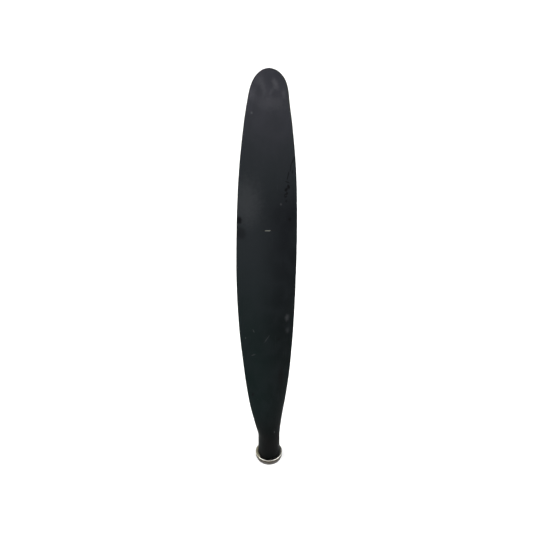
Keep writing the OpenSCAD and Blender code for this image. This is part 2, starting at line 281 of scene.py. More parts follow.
def mesh_object(name, verts, faces):
    """A mesh in the scene, with its faces turned outwards."""
    mesh = bpy.data.meshes.new(name)
    mesh.from_pydata([tuple(v) for v in verts], [], [tuple(f) for f in faces])
    bm = bmesh.new()
    bm.from_mesh(mesh)
    bmesh.ops.recalc_face_normals(bm, faces=bm.faces)
    bm.to_mesh(mesh)
    bm.free()
    obj = bpy.data.objects.new(name, mesh)
    bpy.context.scene.collection.objects.link(obj)
    return obj


def bake(obj):
    """Replaces the object's mesh with the result of its modifiers."""
    bpy.context.view_layer.update()
    graph = bpy.context.evaluated_depsgraph_get()
    result = bpy.data.meshes.new_from_object(obj.evaluated_get(graph))
    obj.modifiers.clear()
    obj.data = result
    return obj


def mend(obj):
    """Merges the doubled points that a cut leaves and fills its slivers."""
    bm = bmesh.new()
    bm.from_mesh(obj.data)
    bmesh.ops.remove_doubles(bm, verts=bm.verts, dist=MERGE_REACH)
    bmesh.ops.dissolve_degenerate(bm, edges=bm.edges, dist=MERGE_REACH)
    gaps = [edge for edge in bm.edges if len(edge.link_faces) == 1]
    bmesh.ops.holes_fill(bm, edges=gaps, sides=8)
    bmesh.ops.recalc_face_normals(bm, faces=bm.faces)
    bm.to_mesh(obj.data)
    bm.free()
    return obj


def carve(obj, cutter, operation="DIFFERENCE"):
    """Cuts obj with cutter, which is then removed."""
    modifier = obj.modifiers.new("carve", "BOOLEAN")
    modifier.operation = operation
    modifier.solver = "EXACT"
    modifier.object = cutter
    bake(obj)
    bpy.data.objects.remove(cutter)
    return mend(obj)


def bevel(obj, width, segments=2):
    """Rounds off the object's sharp edges."""
    modifier = obj.modifiers.new("bevel", "BEVEL")
    modifier.width = width
    modifier.segments = segments
    modifier.limit_method = "ANGLE"
    modifier.angle_limit = math.radians(40)
    return mend(bake(obj))


def join(name, objects):
    """One object from several, which are removed."""
    bm = bmesh.new()
    for obj in objects:
        obj.data.transform(obj.matrix_world)
        bm.from_mesh(obj.data)
        bpy.data.objects.remove(obj)
    mesh = bpy.data.meshes.new(name)
    bm.to_mesh(mesh)
    bm.free()
    joined = bpy.data.objects.new(name, mesh)
    bpy.context.scene.collection.objects.link(joined)
    return joined


def place(obj, body, finishes, replaces=(), soft_angle=math.radians(38)):
    """Finishes a piece: shading, materials, the body it rides on, and the CAD nodes it replaces,
    which are hidden.
    """
    sharpen(obj.data, soft_angle)
    for finish in finishes:
        obj.data.materials.append(finish)
    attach(obj, body)
    if replaces:
        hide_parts(*replaces)
    return obj


def rounded(outline, radius, steps=4):
    """The closed (radius, height) outline with each corner turned into a small arc."""
    result = []
    count = len(outline)
    for i, corner in enumerate(outline):
        here = Vector(corner)
        before = Vector(outline[i - 1]) - here
        after = Vector(outline[(i + 1) % count]) - here
        reach = min(radius, before.length / 2.2, after.length / 2.2)
        a = here + before.normalized() * reach
        b = here + after.normalized() * reach
        for k in range(steps + 1):
            t = k / steps
            result.append(a * (1 - t) ** 2 + here * 2 * t * (1 - t) + b * t ** 2)
    return [tuple(p) for p in result]


def ring_faces(rings, columns):
    """Faces between rings of points that follow one another."""
    return [(low + k, low + (k + 1) % columns, low + columns + (k + 1) % columns, low + columns + k)
            for low in range(0, (rings - 1) * columns, columns) for k in range(columns)]


def end_faces(rings, columns):
    """The faces that close the first and the last ring."""
    return [tuple(range(columns)), tuple(range((rings - 1) * columns, rings * columns))]


def lathe(name, outline, columns=192, closed=True):
    """Turns a (radius, height) outline about Z. An open outline starts and ends on the axis."""
    ring = [(math.cos(2 * math.pi * k / columns), math.sin(2 * math.pi * k / columns))
            for k in range(columns)]
    verts, rows, faces = [], [], []
    for r, z in outline:
        if r < 1e-7:
            rows.append([len(verts)] * columns)
            verts.append((0, 0, z))
        else:
            rows.append(list(range(len(verts), len(verts) + columns)))
            verts += [(c * r, s * r, z) for c, s in ring]
    pairs = list(zip(rows, rows[1:] + (rows[:1] if closed else [])))
    for low, high in pairs if closed else pairs[:len(rows) - 1]:
        for k in range(columns):
            n = (k + 1) % columns
            corners = [low[k], low[n], high[n], high[k]]
            face = list(dict.fromkeys(corners))
            if len(face) > 2:
                faces.append(face)
    return mesh_object(name, verts, faces)


def move_to(obj, spot, turn=0.0):
    """Puts a loose piece in place, before it is joined to others or cuts them."""
    obj.location = spot
    obj.rotation_euler.z = turn
    bpy.context.view_layer.update()
    return obj


def polar(count, radius, first=0.0):
    """Places round a circle, each with its angle."""
    for i in range(count):
        angle = first + 2 * math.pi * i / count
        yield angle, Vector((radius * math.cos(angle), radius * math.sin(angle), 0))


def rod(name, radius, low, high, columns=48, edge=0.0):
    """A round bar along Z, with softened ends."""
    edge = min(edge, radius / 2)
    outline = [(0, low), (radius - edge, low), (radius, low + edge),
               (radius, high - edge), (radius - edge, high), (0, high)]
    return lathe(name, outline, columns, closed=False)


def rods_at(name, places, radius, low, high, columns=32):
    """Round bars along Z at several places, as one piece."""
    return join(name, [move_to(rod(name, radius, low, high, columns), spot)
                       for _, spot in places])


def threaded_rod(name, radius, low, high, pitch, depth, columns=32):
    """A screw thread of the given pitch on a bar along Z."""
    rows = max(8, int((high - low) / pitch * 6))
    verts = []
    for i in range(rows + 1):
        z = low + (high - low) * i / rows
        for k in range(columns):
            turn = (z / pitch - k / columns) % 1.0
            r = radius - depth * abs(2 * turn - 1)
            angle = 2 * math.pi * k / columns
            verts.append((r * math.cos(angle), r * math.sin(angle), z))
    faces = ring_faces(rows + 1, columns)
    verts += [(0, 0, low), (0, 0, high)]
    for k in range(columns):
        n = (k + 1) % columns
        faces.append((k, n, len(verts) - 2))
        faces.append((rows * columns + k, rows * columns + n, len(verts) - 1))
    return mesh_object(name, verts, faces)


def catmull(points, factor, closed):
    """Adds factor - 1 points between neighbours, on a smooth curve through all of them."""
    count = len(points)
    result = []
    for i in range(count if closed else count - 1):
        if closed:
            p0, p1, p2, p3 = (points[(i + k) % count] for k in (-1, 0, 1, 2))
        else:
            p0, p1 = points[max(i - 1, 0)], points[i]
            p2, p3 = points[i + 1], points[min(i + 2, count - 1)]
        for k in range(factor):
            t = k / factor
            result.append(0.5 * (2 * p1 + (p2 - p0) * t
                                 + (2 * p0 - 5 * p1 + 4 * p2 - p3) * t ** 2
                                 + (3 * p1 - p0 - 3 * p2 + p3) * t ** 3))
    if not closed:
        result.append(points[-1])
    return np.array(result)


# ---------------------------------------------------------------- finishes

class Finish:
    """A node material with one Principled shader, built up step by step."""

    def __init__(self, name, roughness=0.5, metallic=0.0):
        self.material = bpy.data.materials.new(name)
        self.material.use_nodes = True
        self.tree = self.material.node_tree
        self.tree.nodes.clear()
        self.shader = self.tree.nodes.new("ShaderNodeBsdfPrincipled")
        output = self.tree.nodes.new("ShaderNodeOutputMaterial")
        self.link(self.shader.outputs["BSDF"], output.inputs["Surface"])
        self.shader.inputs["Roughness"].default_value = roughness
        self.shader.inputs["Metallic"].default_value = metallic
        coords = self.tree.nodes.new("ShaderNodeTexCoord")
        self.position = coords.outputs["Object"]
        self.facing = coords.outputs["Normal"]

    def link(self, source, socket):
        self.tree.links.new(source, socket)

    def fill(self, socket, value):
        if isinstance(value, bpy.types.NodeSocket):
            self.link(value, socket)
        else:
            socket.default_value = value

    def maths(self, operation, a, b=0.0, clamp=False):
        node = self.tree.nodes.new("ShaderNodeMath")
        node.operation = operation
        node.use_clamp = clamp
        self.fill(node.inputs[0], a)
        self.fill(node.inputs[1], b)
        return node.outputs[0]

    def parts(self, vector=None):
        """X, Y and Z of a vector."""
        node = self.tree.nodes.new("ShaderNodeSeparateXYZ")
        self.link(vector or self.position, node.inputs[0])
        return node.outputs[0], node.outputs[1], node.outputs[2]

    def scaled(self, factors, offset=(0, 0, 0)):
        """Position times factors, so that a texture stretches along an axis."""
        node = self.tree.nodes.new("ShaderNodeMapping")
        node.inputs["Scale"].default_value = factors
        node.inputs["Location"].default_value = offset
        self.link(self.position, node.inputs["Vector"])
        return node.outputs[0]

    def noise(self, scale, detail=3.0, vector=None, distortion=0.0):
        node = self.tree.nodes.new("ShaderNodeTexNoise")
        node.inputs["Scale"].default_value = scale
        node.inputs["Detail"].default_value = detail
        node.inputs["Distortion"].default_value = distortion
        self.link(vector or self.position, node.inputs["Vector"])
        return node.outputs["Fac"]

    def band(self, value, low, high, out_low=0.0, out_high=1.0):
        """Value as it rises from low to high, eased, between out_low and out_high."""
        node = self.tree.nodes.new("ShaderNodeMapRange")
        node.interpolation_type = "SMOOTHSTEP"
        for socket, number in zip(list(node.inputs)[1:5], (low, high, out_low, out_high)):
            socket.default_value = number
        self.fill(node.inputs[0], value)
        return node.outputs[0]

    def blend(self, share, a, b, mode="MIX"):
        """Colour a turning into colour b."""
        node = self.tree.nodes.new("ShaderNodeMix")
        node.data_type = "RGBA"
        node.blend_type = mode
        self.fill(node.inputs[0], share)
        for socket, colour in ((node.inputs[6], a), (node.inputs[7], b)):
            if isinstance(colour, bpy.types.NodeSocket):
                self.link(colour, socket)
            else:
                socket.default_value = (*colour[:3], 1.0)
        return node.outputs[2]

    def bump(self, height, strength, distance=0.0005, under=None):
        node = self.tree.nodes.new("ShaderNodeBump")
        node.inputs["Strength"].default_value = strength
        node.inputs["Distance"].default_value = distance
        self.link(height, node.inputs["Height"])
        if under is not None:
            self.link(under, node.inputs["Normal"])
        return node.outputs["Normal"]

    def colour(self, value):
        self.fill(self.shader.inputs["Base Color"], value)

    def rough(self, value):
        self.fill(self.shader.inputs["Roughness"], value)

    def normal(self, value):
        self.link(value, self.shader.inputs["Normal"])

    def axis_distance(self):
        """Distance from the pitch axis, for marks left by turning."""
        x, y, _ = self.parts()
        squares = self.maths("ADD", self.maths("MULTIPLY", x, x), self.maths("MULTIPLY", y, y))
        return self.maths("SQRT", squares)

    def turned_marks(self, lines_per_metre=2600.0):
        """Noise that runs round the pitch axis in fine rings."""
        _, _, z = self.parts()
        node = self.tree.nodes.new("ShaderNodeCombineXYZ")
        self.link(self.axis_distance(), node.inputs[0])
        self.link(z, node.inputs[1])
        return self.noise(lines_per_metre, 4.0, node.outputs[0])

    def turned_shine(self, amount):
        """Highlights drawn out across turning marks that run round the pitch axis."""
        tangent = self.tree.nodes.new("ShaderNodeTangent")
        tangent.direction_type = "RADIAL"
        tangent.axis = "Z"
        self.link(tangent.outputs[0], self.shader.inputs["Tangent"])
        self.shader.inputs["Anisotropic"].default_value = amount
        self.shader.inputs["Anisotropic Rotation"].default_value = 0.25

    def spot(self, centre, half_size, tilt, ragged, softness=0.35):
        """Share of a tilted oval on the flat face; centre and sizes are (across, along)."""
        x, _, z = self.parts()
        flat = self.tree.nodes.new("ShaderNodeCombineXYZ")
        self.link(x, flat.inputs[0])
        self.link(z, flat.inputs[1])
        node = self.tree.nodes.new("ShaderNodeMapping")
        node.vector_type = "TEXTURE"
        node.inputs["Location"].default_value = (centre[0], centre[1], 0)
        node.inputs["Rotation"].default_value = (0, 0, tilt)
        node.inputs["Scale"].default_value = (half_size[0], half_size[1], 1)
        self.link(flat.outputs[0], node.inputs["Vector"])
        length = self.tree.nodes.new("ShaderNodeVectorMath")
        length.operation = "LENGTH"
        self.link(node.outputs[0], length.inputs[0])
        reach = self.maths("ADD", length.outputs["Value"], ragged)
        return self.band(reach, 1.0 + softness, 1.0 - softness)


def tinted(colour, factor):
    """A colour made darker or lighter."""
    return tuple(min(1.0, c * factor) for c in colour)


def steel(name, colour, roughness, grime=0.35, ring_bump=0.12, shine=0.0, side_sheen=0.0):
    """Turned steel with fine rings, stains, a film of old oil, and on one side a lighter olive patch
    of painted sheen.
    """
    finish = Finish(name, roughness, 1.0)
    if shine:
        finish.turned_shine(shine)
    rings = finish.turned_marks()
    stains = finish.noise(90.0, 5.0, distortion=0.6)
    share = finish.band(stains, 0.46, 0.72, 0.0, grime)
    base = finish.blend(finish.band(rings, 0.3, 0.7), tinted(colour, 0.86), tinted(colour, 1.1))
    base = finish.blend(share, base, OLD_OIL)
    # Painted sheen: the left side is made lighter, olive and less metallic, standing in for stronger
    # light from the left.
    if side_sheen:
        ragged = finish.maths("MULTIPLY", finish.maths("SUBTRACT", stains, 0.5), 0.04)
        side = finish.maths("ADD", finish.parts()[0], ragged)
        sheen_patch = finish.band(side, -0.024, -0.031, 0.0, side_sheen)
        base = finish.blend(sheen_patch, base, LEFT_SIDE_SHEEN)
        finish.fill(finish.shader.inputs["Metallic"], finish.maths("SUBTRACT", 1.0, sheen_patch))
    finish.colour(base)
    finish.rough(finish.maths("ADD", finish.band(rings, 0.2, 0.8, roughness - 0.05, roughness + 0.07),
                              finish.maths("MULTIPLY", share, 0.4)))
    pits = finish.bump(finish.noise(1400.0, 3.0), 0.05, 0.0001)
    finish.normal(finish.bump(rings, ring_bump, 0.00008, pits))
    return finish.material


def bare_forging():
    """Bare aluminium of the butt, machined and dulled by handling."""
    colour = colours().bare_forging
    finish = Finish("bare_forging", 0.42, 0.85)
    rings = finish.turned_marks(1500.0)
    handling = finish.noise(55.0, 6.0, distortion=0.4)
    base = finish.blend(finish.band(rings, 0.3, 0.7), tinted(colour, 0.82), tinted(colour, 1.15))
    finish.colour(finish.blend(finish.band(handling, 0.42, 0.68, 0.0, 0.65), base,
                               tinted(colour, 0.45)))
    finish.rough(finish.band(handling, 0.3, 0.75, 0.34, 0.6))
    dents = finish.bump(finish.noise(700.0, 4.0), 0.12, 0.0002)
    finish.normal(finish.bump(rings, 0.16, 0.0001, dents))
    return finish.material


def bronze(name, colour):
    """Turned bronze, darkened with tarnish and oil."""
    finish = Finish(name, 0.36, 1.0)
    rings = finish.turned_marks(2100.0)
    tarnish = finish.noise(120.0, 5.0, distortion=0.8)
    base = finish.blend(finish.band(rings, 0.3, 0.7), tinted(colour, 0.8), tinted(colour, 1.15))
    finish.colour(finish.blend(finish.band(tarnish, 0.4, 0.7, 0.0, 0.75), base,
                               tinted(colour, 0.22)))
    finish.rough(finish.band(tarnish, 0.3, 0.75, 0.26, 0.55))
    finish.normal(finish.bump(rings, 0.14, 0.0001))
    return finish.material


def soft_lead():
    """Lead, dull and dented."""
    colour = colours().lead
    finish = Finish("soft_lead", 0.6, 0.8)
    oxide = finish.noise(260.0, 6.0, distortion=0.5)
    finish.colour(finish.blend(finish.band(oxide, 0.35, 0.65), tinted(colour, 0.7),
                               tinted(colour, 1.35)))
    finish.rough(finish.band(oxide, 0.3, 0.7, 0.45, 0.75))
    finish.normal(finish.bump(finish.noise(900.0, 4.0), 0.3, 0.0003))
    return finish.material


def seal_rubber():
    """Black seal rubber with a faint bloom."""
    finish = Finish("seal_rubber", 0.6)
    bloom = finish.noise(600.0, 5.0)
    finish.colour(finish.blend(finish.band(bloom, 0.4, 0.75), (0.012, 0.012, 0.012),
                               (0.05, 0.05, 0.048)))
    finish.rough(finish.band(bloom, 0.3, 0.7, 0.5, 0.75))
    finish.normal(finish.bump(bloom, 0.1, 0.0001))
    return finish.material


# Marks on the flat face: (across, along) centre, half sizes, tilt in degrees and strength
PALE_MARKS = [
    ((-0.0500, 0.8050), (0.0280, 0.0480), 0, 0.10),
    ((-0.0120, 1.0640), (0.0050, 0.0170), 13, 0.13),
    ((-0.0230, 1.0760), (0.0060, 0.0090), 20, 0.09),
    ((0.0127, 1.0700), (0.0045, 0.0100), 22, 0.20),
    ((0.0060, 1.0560), (0.0030, 0.0080), -30, 0.10),
    ((0.0304, 1.0490), (0.0040, 0.0090), 15, 0.13),
    ((-0.0359, 1.0488), (0.0070, 0.0120), 0, 0.12),
    ((0.0050, 1.0300), (0.0240, 0.0120), 0, 0.09),
    ((-0.0354, 1.0082), (0.0018, 0.0024), 0, 0.31),
    ((0.0266, 0.8014), (0.0018, 0.0022), 0, 0.22),
    ((0.0369, 0.8232), (0.0010, 0.0014), 0, 0.37),
    ((0.0442, 0.4887), (0.0045, 0.0090), 0, 0.16),
    ((0.0460, 0.4480), (0.0040, 0.0070), 0, 0.09),
    ((-0.0378, 0.4579), (0.0009, 0.0040), 20, 0.28),
    ((-0.0386, 0.3848), (0.0009, 0.0045), -75, 0.31),
    ((-0.0052, 0.4287), (0.0009, 0.0105), -32, 0.22),
    ((-0.0576, 0.4392), (0.0011, 0.0018), 0, 0.31),
    ((-0.0543, 0.2923), (0.0011, 0.0018), 0, 0.37),
    ((0.0148, 0.1167), (0.0014, 0.0024), 20, 0.37),
]
DARK_MARKS = [
    ((0.0500, 0.9047), (0.0013, 0.0120), -21, 0.75),
    ((0.0463, 0.8898), (0.0013, 0.0098), -5, 0.6),
    ((0.0500, 0.8803), (0.0018, 0.0040), 0, 0.5),
    ((0.0410, 0.8706), (0.0013, 0.0110), -12, 0.7),
    ((0.0400, 0.8554), (0.0060, 0.0016), -25, 0.7),
    ((0.0425, 0.8451), (0.0028, 0.0055), 10, 0.85),
    ((0.0375, 0.8372), (0.0030, 0.0052), -25, 0.85),
    ((0.0395, 0.8290), (0.0022, 0.0036), 15, 0.7),
    ((0.0362, 0.8227), (0.0030, 0.0048), 0, 0.75),
    ((0.0382, 0.8095), (0.0022, 0.0034), 0, 0.6),
    ((-0.0676, 0.7613), (0.0075, 0.0085), 0, 0.9),
    ((-0.0640, 0.7300), (0.0110, 0.0160), 20, 0.45),
    ((0.0464, 0.7639), (0.0034, 0.0044), 0, 0.8),
    ((0.0247, 0.4237), (0.0029, 0.0039), 0, 0.8),
    ((0.0314, 0.3012), (0.0070, 0.0300), 0, 0.6),
    ((-0.0417, 0.2575), (0.0034, 0.0046), 0, 0.8),
]


def face_marks(finish, base, face):
    """Pale rubs and dark oily scuffs over the base colour, and how oily each place is."""
    grain = finish.maths("SUBTRACT", finish.noise(170.0, 5.0), 0.5)
    ragged = finish.maths("MULTIPLY", grain, 1.6)
    for centre, half_size, tilt, strength in PALE_MARKS:
        oval = finish.spot(centre, half_size, math.radians(tilt), ragged, 0.8)
        share = finish.maths("MULTIPLY", finish.maths("MULTIPLY", face, strength), oval)
        base = finish.blend(share, base, RUBBED_PAINT)
    oily = 0.0
    ragged = finish.maths("MULTIPLY", grain, 1.4)
    for centre, half_size, tilt, strength in DARK_MARKS:
        oval = finish.spot(centre, half_size, math.radians(tilt), ragged)
        share = finish.maths("MULTIPLY", finish.maths("MULTIPLY", face, strength), oval)
        base = finish.blend(share, base, OILY_SCUFF)
        oily = finish.maths("MAXIMUM", oily, share)
    return base, oily


def blade_paint():
    """Matte black paint: lighter grey to the tip, partly weathering and partly painted sheen, with
    painted shade on the leading side and a painted shade rim on the tip's edges; mottled, rubbed,
    scuffed and chipped.
    """
    palette = colours()
    finish = Finish("black_blade_paint", 0.62)
    finish.shader.inputs["Specular IOR Level"].default_value = 0.03
    x, _, z = finish.parts()
    cloud = finish.noise(9.0, 4.0, finish.scaled((1, 1, 0.5)))
    patches = finish.noise(38.0, 5.0, finish.scaled((1, 1, 0.55), (3, 1, 7)), 0.4)
    drift = finish.maths("SUBTRACT", cloud, 0.5)
    along = finish.maths("ADD", z, finish.maths("MULTIPLY", drift, 0.14))
    # Root to tip ramp: partly weathering, partly painted sheen that lightens the paint towards the
    # tip.
    base = finish.blend(finish.band(along, 0.35, 0.78), palette.root_paint, palette.middle_paint)
    base = finish.blend(finish.band(along, 0.84, 1.10), base, palette.tip_paint_and_sheen)
    # Painted shade: the leading-edge side is darkened below the tip, standing in for the side that
    # gets less light.
    lead_side_shade = finish.band(finish.maths("ADD", x, finish.maths("MULTIPLY", drift, 0.05)),
                            -0.045, 0.045)
    base = finish.blend(finish.maths("MULTIPLY", lead_side_shade, finish.band(z, 0.88, 0.77, 0.15, 1.0)),
                        base, (0.38, 0.38, 0.42), "MULTIPLY")
    base = finish.blend(finish.band(patches, 0.35, 0.7, 0.0, 0.3), base,
                        palette.middle_paint)
    foot = finish.band(z, 0.22, 0.08)
    base = finish.blend(foot, base, (0.66, 0.44, 0.42), "MULTIPLY")
    face = finish.band(finish.parts(finish.facing)[1], -0.3, -0.6)
    base, oily = face_marks(finish, base, face)
    dust = finish.band(finish.noise(620.0, 2.0), 0.735, 0.78, 0.0, 0.35)
    base = finish.blend(dust, base, PAINT_DUST)
    streaks = finish.noise(1.0, 3.0, finish.scaled((900, 900, 16)))
    base = finish.blend(finish.band(streaks, 0.64, 0.8, 0.0, 0.25), base, BRUSH_STREAK)
    wear_and_shade_mask = finish.tree.nodes.new("ShaderNodeAttribute")
    wear_and_shade_mask.attribute_name = "edge_wear_and_shade"
    # Painted shade: a darker olive rim along the edges near the tip, where the rounded edge turns
    # from the light.
    rim = finish.maths("MULTIPLY", finish.band(wear_and_shade_mask.outputs["Fac"], 0.55, 0.95),
                       finish.band(z, 0.9, 1.02, 0.0, 0.6))
    base = finish.blend(rim, base, EDGE_RIM_SHADE)
    chips = finish.maths("MULTIPLY", wear_and_shade_mask.outputs["Fac"], finish.noise(240.0, 4.0))
    bare = finish.band(chips, 0.62, 0.65)
    finish.colour(finish.blend(bare, base, CHIPPED_METAL))
    finish.fill(finish.shader.inputs["Metallic"], finish.maths("MULTIPLY", bare, 0.85))
    dull = finish.band(patches, 0.3, 0.75, 0.5, 0.72)
    dull = finish.maths("SUBTRACT", dull, finish.maths("MULTIPLY", oily, 0.25))
    finish.rough(finish.maths("SUBTRACT", dull, finish.maths("MULTIPLY", bare, 0.2)))
    peel = finish.bump(finish.noise(850.0, 3.0), 0.12, 0.00025)
    brush = finish.bump(streaks, 0.08, 0.0002, peel)
    finish.normal(finish.bump(finish.maths("MULTIPLY", bare, -1.0), 0.4, 0.0002, brush))
    return finish.material


def mark_finish(name, colour, worn):
    """Old paint of the reference mark, worn through in places; also the painted shadow of its scribed
    line.
    """
    finish = Finish(name, 0.6)
    finish.shader.inputs["Specular IOR Level"].default_value = 0.05
    flecks = finish.noise(1900.0, 4.0)
    finish.colour(finish.blend(finish.band(flecks, 0.52, 0.7, 0.0, worn), colour,
                               (0.02, 0.02, 0.02)))
    finish.rough(finish.band(flecks, 0.3, 0.7, 0.5, 0.75))
    finish.normal(finish.bump(flecks, 0.2, 0.0001))
    return finish.material


def floor_finish():
    """Smooth pale floor with a hint of unevenness."""
    colour = colours().floor
    finish = Finish("studio_floor", 0.75)
    cloud = finish.noise(3.0, 3.0)
    finish.colour(finish.blend(finish.band(cloud, 0.3, 0.7), tinted(colour, 0.985), colour))
    finish.rough(finish.band(cloud, 0.3, 0.7, 0.7, 0.8))
    finish.shader.inputs["Specular IOR Level"].default_value = 0.1
    return finish.material


# ---------------------------------------------------------------- the blade

def cad_sections():
    """The airfoil's sections, root first, each from its leading edge round by the back."""
    points = np.array([v.co for v in frame["nodes"]["blade"].data.vertices])
    reach = np.hypot(points[:, 0], points[:, 1])
    levels = {}
    for p, r in zip(points, reach):
        x, y, z = (float(c) for c in p)
        in_bore = z < TAPER_END + 5 * MM and r < TAPER_R + 1.1 * MM
        on_shank = abs(z - SHANK_TOP) < 0.005 * MM and r > SHANK_R - 0.01 * MM
        if z > SHANK_TOP - MM and not in_bore and not on_shank:
            levels.setdefault(round(z * LEVELS_PER_METRE), set()).add((round(x, 6), round(y, 6)))
    rings = []
    direction = np.array([1.0, 0.0])
    turn = 0.0
    for key in sorted(levels, reverse=True):
        ring = np.array(sorted(levels[key]))
        if len(ring) != SECTION_POINTS:
            continue
        middle = (ring.max(0) + ring.min(0)) / 2
        spread = ring - middle
        wide = np.ptp(spread @ direction)
        thick = np.ptp(spread @ np.array([-direction[1], direction[0]]))
        if wide > 1.5 * thick:
            ends = ring[np.argmax(spread @ direction)] - ring[np.argmin(spread @ direction)]
            fresh = ends / np.linalg.norm(ends)
            turn = math.atan2(fresh[1], fresh[0]) - math.atan2(direction[1], direction[0])
            direction = fresh
        else:
            c, s = math.cos(turn), math.sin(turn)
            direction = np.array([c * direction[0] - s * direction[1],
                                  s * direction[0] + c * direction[1]])
            turn *= 0.8
        across = np.array([-direction[1], direction[0]])
        angles = np.arctan2((spread @ across) / max(thick, 1e-6),
                            (spread @ direction) / max(wide, 1e-6))
        ring = ring[np.argsort(angles)]
        ring = np.roll(ring, -int(np.argmax(ring @ direction)), axis=0)
        rings.append(np.column_stack([ring, np.full(len(ring), key / LEVELS_PER_METRE)]))
    return rings[::-1]


def fine_sections():
    """The same sections with many more points, smooth both ways, and nicks dressed out."""
    rings = np.array(cad_sections())
    rings = np.array([catmull(ring, sizes().detail_round, True) for ring in rings])
    rings = catmull(rings, sizes().detail_along, False)
    draw = random.Random(7)
    lead = rings[:, 0]
    nicks = [(draw.uniform(*NICK_HEIGHTS), draw.uniform(*NICK_HALF_LENGTHS),
              draw.uniform(0.4, 1)) for _ in range(NICKS)]
    for row in range(len(rings)):
        z = lead[row, 2]
        depth = sum(sizes().nick_depth * deep * math.exp(-((z - at) / half) ** 2)
                    for at, half, deep in nicks)
        inward = rings[row].mean(0) - lead[row]
        inward /= max(np.linalg.norm(inward), 1e-9)
        gap = np.linalg.norm(rings[row] - lead[row], axis=1)
        rings[row] += inward * (depth * np.exp(-(gap / NICK_REACH) ** 2))[:, None]
    return rings


def butt_outline(top):
    """The turned foot from the shank's top down, round the butt and up the tapered bore."""
    outline = [(SHANK_R, z) for z in np.linspace(top, sizes().paint_edge, 9)[1:]]
    fillet_z = FLANGE_TOP + SHANK_FILLET
    outline.append((SHANK_R, fillet_z + 2 * MM))
    for k in range(9):
        a = math.radians(90 * k / 8)
        outline.append((SHANK_R + SHANK_FILLET * (1 - math.cos(a)),
                        fillet_z - SHANK_FILLET * math.sin(a)))
    corners = [(FLANGE_R, FLANGE_TOP), (FLANGE_R, BUTT_CHAMFER), (FLANGE_R - BUTT_CHAMFER, 0),
               (COUNTERBORE_R, 0), (COUNTERBORE_R, COUNTERBORE_TOP),
               (BUSHING_SEAT_R, COUNTERBORE_TOP), (BUSHING_SEAT_R, BUSHING_SEAT_TOP),
               (PLUG_SEAT_R, BUSHING_SEAT_TOP), (PLUG_SEAT_R, GROOVE_LOW),
               (GROOVE_R, GROOVE_LOW), (GROOVE_R, GROOVE_HIGH), (PLUG_SEAT_R, GROOVE_HIGH),
               (PLUG_SEAT_R, PLUG_SEAT_TOP), (TAPER_R, PLUG_SEAT_TOP), (TAPER_END_R, TAPER_END)]
    soft = rounded([(0, SHANK_TOP), *corners, (0, TAPER_END)], BORE_CORNER, 2)
    return outline + soft[3:-3] + [(0, TAPER_END)]


def edge_wear_and_shade(mesh, rings):
    """Paints how exposed each point is: 1 along the leading edge, less along the trailing one. It
    masks the paint chips and the painted shade rim near the tip.
    """
    rows, columns = rings.shape[:2]
    share = np.zeros(len(mesh.vertices))
    for row in range(rows):
        lead_gap = np.linalg.norm(rings[row] - rings[row, 0], axis=1)
        trail_gap = np.linalg.norm(rings[row] - rings[row, columns // 2], axis=1)
        share[row * columns:(row + 1) * columns] = (
            np.exp(-(lead_gap / (4.5 * MM)) ** 2) + 0.9 * np.exp(-(trail_gap / (3 * MM)) ** 2))
    attribute = mesh.attributes.new("edge_wear_and_shade", "FLOAT", "POINT")
    attribute.data.foreach_set("value", np.clip(share, 0, 1).astype(np.float32))


def build_blade():
    """One closed mesh: airfoil, shank, flange and bores."""
    rings = fine_sections()[::-1]
    columns = rings.shape[1]
    verts = [tuple(p) for ring in rings for p in ring]
    start = rings[-1]
    angles = np.arctan2(start[:, 1], start[:, 0])
    for r, z in butt_outline(start[0, 2]):
        if r > 0:
            verts += [(r * math.cos(a), r * math.sin(a), z) for a in angles]
    total = len(verts) // columns
    obj = mesh_object("blade_forging", verts,
                      ring_faces(total, columns) + end_faces(total, columns))
    edge_wear_and_shade(obj.data, rings)
    fixing_low = COUNTERBORE_TOP - CUT
    between = math.pi / FIXINGS
    cuts = [
        rods_at("index", polar(INDEX_HOLES, INDEX_CIRCLE_R, math.pi / INDEX_HOLES),
                INDEX_HOLE_R, -CUT, INDEX_DEPTH),
        rods_at("screws", polar(FIXINGS, FIXING_CIRCLE_R), FIXING_R, fixing_low, SCREW_HOLE_TOP),
        rods_at("pins", polar(FIXINGS, FIXING_CIRCLE_R, between), FIXING_R,
                fixing_low, PIN_HOLE_TOP),
    ]
    carve(obj, join("holes", cuts))
    place(obj, "blade", [blade_paint(), bare_forging()], ["blade"])
    edge = sizes().paint_edge
    for face in obj.data.polygons:
        in_bore = (face.center.z < TAPER_END + 0.5 * MM
                   and math.hypot(face.center.x, face.center.y) < BUSHING_SEAT_R + 0.2 * MM)
        face.material_index = 1 if face.center.z < edge or in_bore else 0
    return obj


def strip_on_face(name, skin, across, height, rise, half_height, steps, wander, seed, lift):
    """A thin film that follows the flat face from across[0] to across[1] at a height."""
    draw = random.Random(seed)
    top, low = [], []
    for i in range(steps + 1):
        t = i / steps
        x = across[0] + (across[1] - across[0]) * t
        taper = math.sin(math.pi * t) ** 0.35
        for side, row in ((1, top), (-1, low)):
            z = height + rise * t + side * half_height * (taper + draw.uniform(-wander, wander))
            hit, normal, _, _ = skin.ray_cast(Vector((x, -0.2, z)), Vector((0, 1, 0)))
            row.append((hit, normal))
    verts = [tuple(hit + normal * level) for level in (lift, -0.05 * MM)
             for row in (top, low) for hit, normal in row]
    n = steps + 1
    edges = ((0, n), (2 * n, 3 * n), (0, 2 * n), (n, 3 * n))
    faces = [(a + i, a + i + 1, b + i + 1, b + i) for i in range(steps) for a, b in edges]
    faces += [(i, n + i, 3 * n + i, 2 * n + i) for i in (0, steps)]
    return mesh_object(name, verts, faces)


